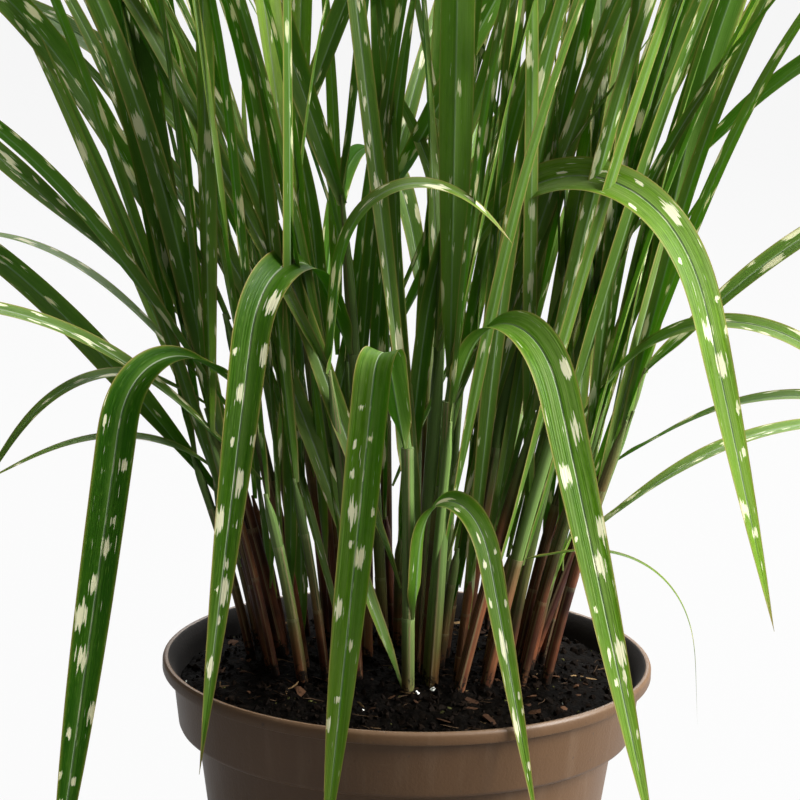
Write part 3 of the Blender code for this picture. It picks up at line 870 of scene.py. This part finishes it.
def sheaths(lines, shoot, shares, look, rng):
    """Add a culm's sheaths to a set of lines: each laps the next, the last holds the top blade's foot."""
    fine = culm_line(shoot, 40)
    marks = sorted(set(shares) | {1.05})
    top = len(marks) - 1
    for k, end in enumerate(marks):
        begin = marks[k - 2] - 0.04 if k > 1 else 0.0
        layer = 1.0 + 0.045 * (top - k)
        steps = max(8, int((end - begin) * 34))
        stations = []
        for j in range(steps + 1):
            u = j / steps
            here = begin + (end - begin) * u
            i = min(int(here * 40), 39)
            point = fine[i].lerp(fine[i + 1], here * 40 - i)
            along = (fine[i + 1] - fine[i]).normalized()
            swell = 1.0 + 0.02 * math.exp(-(u / 0.03) ** 2) + 0.02 * smooth((u - 0.94) / 0.06)
            if k == top:
                swell = 1.0 - 0.62 * smooth((u - 0.80) / 0.20)
            back = direction(shoot.heading + 180.0 * (k % 2) + 55.0, 0.0)
            upward = (back - along * back.dot(along)).normalized()
            stations.append((point, upward, shoot.radius * layer * swell * 0.93, u, 0.0))
        lines.add(stations, look[0] * rng.uniform(0.8, 1.15), look[1] * rng.uniform(0.85, 1.1), rng.random())


rng = random.Random(77)
for number, shoot in SHOOTS.items():
    lines = Lines()
    sheaths(lines, shoot, spaced(shares_on(number, BLADES)), LOOKS[number], rng)
    culm = grow(f"culm_{number}_sheaths", lines, sheath_rim, 0.05, 0.02, sheath_skin, 40.0)
    fasten(culm, "reed", f"culm_{number}")

# ---------------------------------------------------------------- Side tillers
# Between the strong culms stand thinner tillers, crowded at the crown, each with a sheath or two and
# a narrow blade. They are grouped by the quarter of the clump that they stand in.

TILLER_COUNT = 46
TILLERS = []
rng = random.Random(11)
taken = [(s.x, s.y, s.radius) for s in SHOOTS.values()]
while len(TILLERS) < TILLER_COUNT:
    x, y = rng.uniform(-62, 56), rng.uniform(-40, 62)
    if (x / 62.0) ** 2 + ((y - 10.0) / 52.0) ** 2 > 1.0:
        continue
    if any(math.hypot(x - a, y - b) < 3.4 + r for a, b, r in taken):
        continue
    thick = rng.uniform(1.3, 2.2)
    taken.append((x, y, thick))
    out = math.hypot(x, y - 6.0) / 58.0
    heading = math.degrees(math.atan2(y - 6.0, x)) + rng.uniform(-15, 15)
    TILLERS.append(Shoot(x, y, heading, 3 + 8 * out, 6 + 14 * out, rng.uniform(40, 120), thick))
quarters = {"left_front": Lines(), "right_front": Lines(), "left_back": Lines(), "right_back": Lines()}
for k, tiller in enumerate(TILLERS):
    SHOOTS[f"tiller_{k}"] = tiller
    if not try_blade(f"tiller_{k}", 1.03, (tiller.heading - 80, tiller.heading + 80), (68, 86), (6, 36),
                     (220, 360) if tiller.y < 12 else (120, 220), (4.5, 9.0), 100):
        continue
    quarter = ("left" if tiller.x < 0 else "right") + ("_front" if tiller.y < 10 else "_back")
    look = (rng.uniform(0.1, 0.7), rng.uniform(0.45, 1.0) if abs(tiller.x) > 18 else rng.uniform(0.2, 0.8))
    sheaths(quarters[quarter], tiller, (0.45, 0.8), look, rng)
    if tiller.y < 12:
        try_blade(f"tiller_{k}", 0.55, (tiller.heading - 80, tiller.heading + 80), (68, 86), (6, 36),
                  (200, 360), (4.5, 9.0), 100)
for quarter, lines in quarters.items():
    fasten(grow(f"tillers_{quarter}", lines, sheath_rim, 0.05, 0.02, sheath_skin, 40.0), "reed")

# ---------------------------------------------------------------- Blades
# Each blade is a thin, V-folded strip with a pale midrib, fine parallel veins and a tan rim. Cream
# bands, ragged along the veins, break the green; tips dry to yellow-brown. Below, the green is greyer.

cream, cream_in, cream_out = effect(
    "Cream bands",
    [("Place", "vector", None), ("Seed", "value", 0.0), ("Amount", "value", 0.5)],
    [("Mask", "value"), ("Halo", "value")])
cut = split(cream, cream_in["Place"])
start = times(cream, cream_in["Seed"], 17.3)
lane = joined(cream, times(cream, cut["X"], 55.0), times(cream, cut["Y"], 1700.0), start)
finger = less(cream, grain(cream, lane, 1.0, 2.0, 0.6), 0.5)
slid = plus(cream, cut["X"], times(cream, finger, 0.014))


def spots_along(length, width, rarity, small, large, shift):
    """Scattered patches in a lattice of length by width metres, as (how far inside each patch)."""
    where = joined(cream, plus(cream, maths(cream, "DIVIDE", slid, length), plus(cream, start, shift)),
        plus(cream, maths(cream, "DIVIDE", cut["Y"], width), plus(cream, start, shift)), 0.0)
    cell = shader(cream, "ShaderNodeTexVoronoi", {"Vector": where, "Scale": 1.0, "Randomness": 0.9},
                  voronoi_dimensions="2D", feature="F1").outputs
    pick = shader(cream, "ShaderNodeSeparateColor", {"Color": cell["Color"]}).outputs
    size = shader(cream, "ShaderNodeMapRange",
        {"Value": pick["Green"], "To Min": small, "To Max": large}).outputs[0]
    bar = less(cream, rarity, times(cream, cream_in["Amount"], 0.35))
    bar = plus(cream, bar, times(cream, less(cream, cream_in["Seed"], 0.4), 0.14))
    there = maths(cream, "GREATER_THAN", pick["Red"], bar)
    return times(cream, less(cream, size, cell["Distance"]), there)


big = spots_along(0.0145, 0.0044, 0.87, 0.16, 0.44, 0.0)
small = spots_along(0.0075, 0.0021, 0.97, 0.16, 0.42, 5.7)
inside = maths(cream, "MAXIMUM", big, small)
cream.links.new(eased(cream, inside, 0.0, 0.07), cream_out["Mask"])
cream.links.new(eased(cream, inside, -0.02, 0.03), cream_out["Halo"])


def blade_material(name, dull, deep, light, young, lit, amount):
    """One green of blade: dull beneath, deep to light by its tone, young or lit through for the rest."""
    made, tree, skin = new_material(name, Specular_IOR_Level=0.17)
    spot = read(tree, "blade_place")
    look = read(tree, "blade_look")
    age = read(tree, "blade_age")
    pale = read(tree, "pale", "Fac")
    share = split(tree, spot)["Z"]
    across, tone, seed = split(tree, look)
    warmth, side, half = split(tree, age)
    off_rib = maths(tree, "ABSOLUTE", across)
    away = times(tree, off_rib, half)
    lines = placed(tree, veins, {"Place": spot, "Seed": seed, "Per metre": 2300.0})
    base = blended(tree, tone, deep, light)
    base = blended(tree, eased(tree, tone, 0.72, 1.0), base, young)
    base = tinted(tree, base, eased(tree, lines["Mottle"], 0.35, 0.7), 0.35, dull)
    stripe = eased(tree, lines["Veins"], 0.35, 0.68)
    base = blended(tree, times(tree, stripe, 0.36), base, blended(tree, 0.5, deep, colour(0, 0, 0)))
    dark_dash = times(tree, eased(tree, lines["Grain"], 0.50, 0.38), 0.30)
    base = blended(tree, dark_dash, base, blended(tree, 0.6, deep, colour(0, 0, 0)))
    light_dash = times(tree, eased(tree, lines["Grain"], 0.60, 0.72), 0.30)
    base = blended(tree, light_dash, base, colour(0.170, 0.280, 0.040))
    beside = times(tree, eased(tree, away, 0.0026, 0.0006), eased(tree, lines["Streaks"], 0.3, 0.65))
    base = tinted(tree, base, beside, 0.5, colour(0.120, 0.225, 0.035))
    bloom = times(tree, eased(tree, lines["Streaks"], 0.35, 0.68), times(tree, tone, 0.85))
    base = blended(tree, bloom, base, colour(0.205, 0.290, 0.075))
    yellowed = times(tree, eased(tree, share, 0.5, 1.0), times(tree, tone, 0.55))
    base = blended(tree, yellowed, base, young)
    bands = placed(tree, cream, {"Place": spot, "Seed": seed, "Amount": amount})
    wild = times(tree, eased(tree, share, 0.03, 0.10), eased(tree, pale, 0.02, 0.0))
    ragged = times(tree, less(tree, lines["Fingers"], 0.5), 2.6)
    own = eased(tree, plus(tree, pale, ragged), 0.50, 0.66)
    halo = times(tree, bands["Halo"], wild)
    base = tinted(tree, base, halo, 0.5, colour(0.30, 0.36, 0.12))
    mask = maths(tree, "MAXIMUM", times(tree, bands["Mask"], wild), own)
    cream_now = blended(tree, lines["Streaks"], colour(0.76, 0.74, 0.48), colour(0.90, 0.88, 0.66))
    base = tinted(tree, base, mask, 0.93, cream_now)
    rib = times(tree, eased(tree, away, 0.00048, 0.00018), eased(tree, share, 0.96, 0.8))
    rib = times(tree, rib, eased(tree, half, 0.0016, 0.0035))
    base = tinted(tree, base, rib, 0.55, colour(0.42, 0.48, 0.34))
    inward = less(tree, half, away)
    edging = times(tree, eased(tree, inward, 0.0016, 0.0002), eased(tree, half, 0.0015, 0.0035))
    base = tinted(tree, base, edging, 0.35, colour(0.24, 0.30, 0.03))
    rim = eased(tree, inward, 0.00055, 0.00012)
    base = tinted(tree, base, rim, 0.7, colour(0.34, 0.24, 0.08))
    foot = times(tree, eased(tree, share, 0.05, 0.0), 0.6)
    base = blended(tree, foot, base, colour(0.22, 0.27, 0.10))
    under = eased(tree, side, 0.2, -0.2)
    base = tinted(tree, base, under, 0.40, dull)
    dry = plus(tree, share, times(tree, less(tree, lines["Streaks"], 0.5), 0.10))
    dry = maths(tree, "MAXIMUM", eased(tree, dry, 0.93, 0.995), eased(tree, warmth, 0.5, 1.0))
    base = blended(tree, times(tree, dry, 0.85), base,
        blended(tree, lines["Mottle"], colour(0.16, 0.13, 0.030), colour(0.30, 0.20, 0.075)))
    rough = plus(tree, times(tree, lines["Streaks"], 0.22), 0.34)
    rough = plus(tree, rough, times(tree, under, 0.12))
    height = plus(tree, times(tree, lines["Veins"], 0.8), times(tree, lines["Streaks"], 0.6))
    finish_skin(tree, skin, base, rough, height, 0.00028)
    glow = blended(tree, mask, blended(tree, 0.30, lit, base), cream_now)
    through = shader(tree, "ShaderNodeBsdfTranslucent", {"Color": glow}).outputs[0]
    leaf = shader(tree, "ShaderNodeMixShader", {0: 0.42, 1: skin.outputs[0], 2: through}).outputs[0]
    tree.links.new(leaf, tree.nodes["Material Output"].inputs["Surface"])
    return made


blade_skin = blade_material(
    "blade_green", dull=colour(0.064, 0.170, 0.006), deep=colour(0.019, 0.078, 0.001),
    light=colour(0.140, 0.300, 0.008), young=colour(0.270, 0.450, 0.022), lit=colour(0.190, 0.480, 0.006),
    amount=0.2)


def blade_outline(spots, keel, thick):
    """Round a blade's section: over the top from edge to edge, then back beneath past the keel."""
    over = [(0.0, x, x, 1.0) for x in spots]
    over = [(lift - (0.05 if abs(x) < 0.02 else 0.0), x, share, side) for lift, x, share, side in over]
    beneath = [(-thick * (1.0 - 0.55 * x * x) - (keel if abs(x) < 0.07 else 0.0), x, x, -1.0)
               for x in reversed(spots[1:-1])]
    return over + beneath


FINE = (-1.0, -0.90, -0.74, -0.56, -0.38, -0.22, -0.10, -0.05, 0.0, 0.05, 0.10, 0.22, 0.38, 0.56, 0.74,
    0.90, 1.0)
PLAIN = (-1.0, -0.6, -0.25, -0.06, 0.0, 0.06, 0.25, 0.6, 1.0)
fine_rim = section("fine_blade_section", blade_outline(FINE, 0.07, 0.036))
plain_rim = section("plain_blade_section", blade_outline(PLAIN, 0.07, 0.04))

# The blades that arch over the lip show their cream bands most, so theirs are laid one by one.
ARCHING = (1, 2, 3, 4, 5, 6)
ARCHING_STEPS = 150
STEPS = 90
FILLER_STEPS = 46
FIRST_BAND = 0.26
LAST_BAND = 0.88


def laid_bands(blade, rng):
    """Bands down a blade, each as its share of the length, where it lies across, its length and width."""
    bands = []
    share = FIRST_BAND + rng.uniform(0.0, 0.06)
    side = rng.choice((-1.0, 1.0))
    while share < LAST_BAND:
        large = rng.random() < 0.4
        long = rng.uniform(7.0, 12.0) if large else rng.uniform(2.5, 5.5)
        wide = blade.width * (rng.uniform(0.18, 0.28) if large else rng.uniform(0.08, 0.16))
        bands.append((share, side * rng.uniform(0.15, 0.85), long, wide))
        if rng.random() < 0.35:
            speck = share + rng.uniform(-6.0, 6.0) / blade.length
            bands.append((speck, -side * rng.uniform(0.3, 0.9), rng.uniform(2.0, 4.5),
                rng.uniform(1.0, 1.8)))
        share += rng.uniform(9.0, 21.0) / blade.length
        side = -side if rng.random() < 0.7 else side
    return bands


def band(piece, blade, spots):
    """Store how deep each point lies in a placed band: 1.5 at its middle, 0.5 at its edge."""
    mesh = piece.data
    where = np.zeros(len(mesh.vertices) * 3, np.float32)
    mesh.attributes["blade_place"].data.foreach_get("vector", where)
    look = np.zeros(len(mesh.vertices) * 3, np.float32)
    mesh.attributes["blade_look"].data.foreach_get("vector", look)
    where, look = where.reshape(-1, 3), look.reshape(-1, 3)
    half = np.abs(where[:, 1]) / np.maximum(np.abs(look[:, 0]), 0.02) / MM
    pale = np.full(len(where), 0.04)
    for share, across, long, wide in spots:
        off = np.hypot((where[:, 2] - share) * blade.length / (long / 2),
            (look[:, 0] - across) * half / (wide / 2))
        pale = np.maximum(pale, 1.5 - off)
    mesh.attributes.new("pale", "FLOAT", "POINT").data.foreach_set("value", pale.astype(np.float32))


# Tones of the main blades, partly their own greens and partly painted light and shade: blade 1, which faces
# away from the key, is painted darkest, and blade 6, on the lit right, is painted light.
TONES_AND_PAINTED_LIGHT = {1: 0.0, 2: 0.15, 3: 0.45, 4: 0.60, 5: 0.45, 6: 0.80, 8: 0.4, 9: 0.3, 16: 0.12, 17: 0.96, 18: 0.15,
         19: 0.1, 20: 0.86, 11: 0.2, 13: 0.1, 14: 0.1, 21: 0.1, 22: 0.5, 23: 0.15, 24: 0.1, 25: 0.3}
rng = random.Random(5)
for number, blade in enumerate(BLADES, 1):
    lines = Lines()
    steps = ARCHING_STEPS if number in ARCHING else STEPS
    lines.add(blade_stations(blade, steps), TONES_AND_PAINTED_LIGHT.get(number, rng.uniform(0.15, 0.75)), 0.0, rng.random())
    piece = grow(f"blade_{number:02d}", lines, fine_rim, 0.10, 0.035, blade_skin)
    if number in ARCHING:
        band(piece, blade, laid_bands(blade, random.Random(20 + number)))
    fasten(piece, "leaf_green", f"leaf_{number:02d}")

by_culm = {}
for blade in FILLERS:
    by_culm.setdefault(blade.shoot, []).append(blade)
groups = {}
for name, blades in by_culm.items():
    shoot = SHOOTS[name]
    key = name if not name.startswith("tiller") else "tillers_" + ("left" if shoot.x < 0 else "right")
    groups.setdefault(key, []).extend(blades)
for key, blades in groups.items():
    lines = Lines()
    # Blades on culms right of the middle are given a lighter tone: painted light, for the side the key
    # lights.
    painted_light_on_right = 0.15 if SHOOTS[blades[0].shoot].x > 15 else 0.0
    for blade in blades:
        tone = rng.choice((0.0, 0.0, 0.05, 0.1, 0.2, 0.4, 0.6, 0.9)) + rng.uniform(painted_light_on_right, painted_light_on_right + 0.08)
        lines.add(blade_stations(blade, FILLER_STEPS), tone, 0.0, rng.random())
    label = f"culm_{key}_blades" if not key.startswith("tillers") else f"{key}_blades"
    fasten(grow(label, lines, plain_rim, 0.10, 0.035, blade_skin), "leaf_green")
for rim in (sheath_rim, fine_rim, plain_rim):
    bpy.data.objects.remove(rim)

# ---------------------------------------------------------------- Floor
# A wide, round, pale floor, so matt and so evenly lit that it runs into the pale room with no seam.
# Its own light reaches only the camera, so the plant isn't lit from beneath by it.

FLOOR_RADIUS = 14.0
floor_paint, tree, skin = new_material("floor_paint", Specular_IOR_Level=0.0, Roughness=0.95)
place = shader(tree, "ShaderNodeTexCoord").outputs["Object"]
tooth = grain(tree, place, 260.0, 3.0)
tree.links.new(blended(tree, tooth, colour(0.23, 0.23, 0.23), colour(0.25, 0.25, 0.25)),
    skin.inputs["Base Color"])
even = shader(tree, "ShaderNodeEmission", {"Color": colour(1.0, 1.0, 1.0), "Strength": 0.985}).outputs[0]
seen = shader(tree, "ShaderNodeLightPath").outputs["Is Camera Ray"]
paint = shader(tree, "ShaderNodeMixShader", {0: times(tree, seen, 0.93), 1: skin.outputs[0], 2: even})
tree.links.new(paint.outputs[0], tree.nodes["Material Output"].inputs["Surface"])
bm = bmesh.new()
bmesh.ops.create_circle(bm, cap_ends=True, segments=96, radius=FLOOR_RADIUS)
mesh = bpy.data.meshes.new("floor")
bm.to_mesh(mesh)
bm.free()
mesh.materials.append(floor_paint)
shown("floor", mesh)

# ---------------------------------------------------------------- Light and camera
# One large soft light stands at the right, a weak one in front and a broad one behind, in a pale room.
# The room is bright to the camera and dim to the plant, so that the leaves keep their shadows.


def soft_light(name, spot, aim, size, power):
    lamp = bpy.data.lights.new(name, "AREA")
    lamp.shape = "DISK"
    lamp.size = size
    lamp.energy = power
    made = shown(name, lamp)
    made.location = spot
    made.rotation_euler = (Vector(aim) - Vector(spot)).to_track_quat("-Z", "Y").to_euler()


soft_light("key", (1.85, -0.50, 1.30), (0.0, 0.0, 0.25), 1.5, 195.0)
soft_light("front", (0.5, -1.3, 1.9), (0.0, 0.0, 0.3), 1.0, 8.0)
soft_light("back", (0.2, 1.2, 1.7), (0.0, 0.0, 0.3), 1.8, 80.0)
room = bpy.data.worlds.new("pale_room")
room.use_nodes = True
air = room.node_tree.nodes["Background"]
air.inputs["Color"].default_value = colour(1.0, 1.0, 1.0)
seen = shader(room.node_tree, "ShaderNodeLightPath").outputs["Is Camera Ray"]
bright = plus(room.node_tree, times(room.node_tree, seen, 0.82), 0.13)
room.node_tree.links.new(bright, air.inputs["Strength"])
bpy.context.scene.world = room
bpy.context.scene.view_settings.view_transform = "Standard"

CAMERA_SPOT = (0.0, -1.2412, 0.5366)
LOOKS_DOWN = math.radians(12.833)
TURNED_LEFT = math.radians(0.229)
TILTED = math.radians(1.3)
lens = bpy.data.cameras.new("camera")
lens.lens = 149.64
lens.sensor_width = 36.0
lens.dof.use_dof = False
camera = shown("camera", lens)
camera.matrix_world = (
    Matrix.Translation(CAMERA_SPOT) @ Matrix.Rotation(TURNED_LEFT, 4, "Z")
    @ Matrix.Rotation(math.pi / 2.0 - LOOKS_DOWN, 4, "X") @ Matrix.Rotation(TILTED, 4, "Z"))
bpy.context.scene.camera = camera
